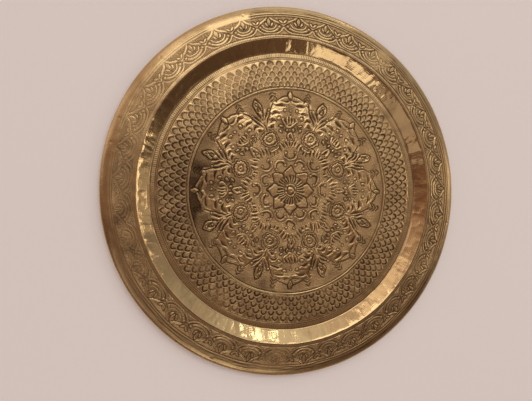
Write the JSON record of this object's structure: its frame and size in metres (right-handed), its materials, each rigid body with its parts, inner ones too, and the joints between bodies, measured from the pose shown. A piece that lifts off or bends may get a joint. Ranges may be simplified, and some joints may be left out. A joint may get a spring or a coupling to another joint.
{
  "type": "wall tray",
  "caption": "Round raised brass tray: flat chased floor, low sloping wall, wide engraved rim with a rolled, wired lip, and a swinging hanging ring behind the rim.",
  "frame": {"origin": "middle of the floor's underside, on the surface the tray stands on", "axes": "+Z out of the tray's open face, +Y towards the hanging ring, which is the top when the tray hangs, +X to the right as seen from the open face"},
  "size_m": [0.5, 0.5, 0.0125],
  "materials": {
    "aged_brass": "old polished brass sheet, hammered and chased, with brown patina in the recesses",
    "hanger_brass": "dull drawn brass with solder stains",
    "steel_wire": "plain drawn steel wire, hidden in the lip"
  },
  "bodies": {
    "tray": {"tray_pan": "aged_brass", "rim_wire": "steel_wire", "hanger_saddle": "hanger_brass"},
    "ring": {"hanger_ring": "hanger_brass"}
  },
  "joints": [
    {"name": "ring_swing", "type": "hinge", "parent": "tray", "child": "ring", "pos_m": [0, 0.2195, 0.0096], "axis": [-1, 0, 0], "range_deg": [-24, 140]}
  ]
}
